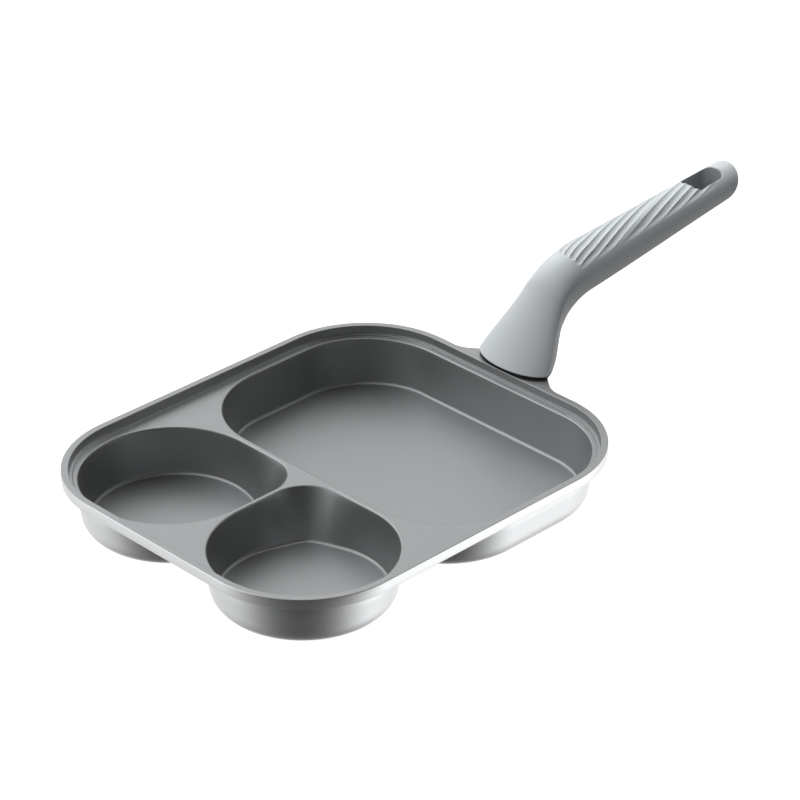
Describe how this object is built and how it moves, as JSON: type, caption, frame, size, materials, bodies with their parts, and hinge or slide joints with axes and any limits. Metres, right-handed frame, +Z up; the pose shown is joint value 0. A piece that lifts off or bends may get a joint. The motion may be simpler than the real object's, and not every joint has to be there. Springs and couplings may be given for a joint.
{
  "type": "breakfast pan",
  "caption": "Shallow cast breakfast pan with round egg wells beside one wide well, a raised rim, and an angled moulded handle with twisted flutes and a hanging slot.",
  "frame": {"origin": "on the hob, under the middle of the tray without its lug", "axes": "+X from the tray along the handle, +Y across the tray, +Z up from the hob"},
  "size_m": [0.4454, 0.221, 0.1013],
  "materials": {
    "coated_casting": "satin dark grey non-stick coat inside and on the deck, glossy silver coat outside",
    "handle_moulding": "satin",
    "black_rubber": "matte",
    "zinc_steel": "zinc plated"
  },
  "bodies": {
    "root": {"pan_body": "coated_casting", "handle": "handle_moulding", "foot_gasket": "black_rubber", "flat_washer": "zinc_steel", "spring_washer": "zinc_steel", "handle_screw": "zinc_steel"}
  },
  "joints": []
}
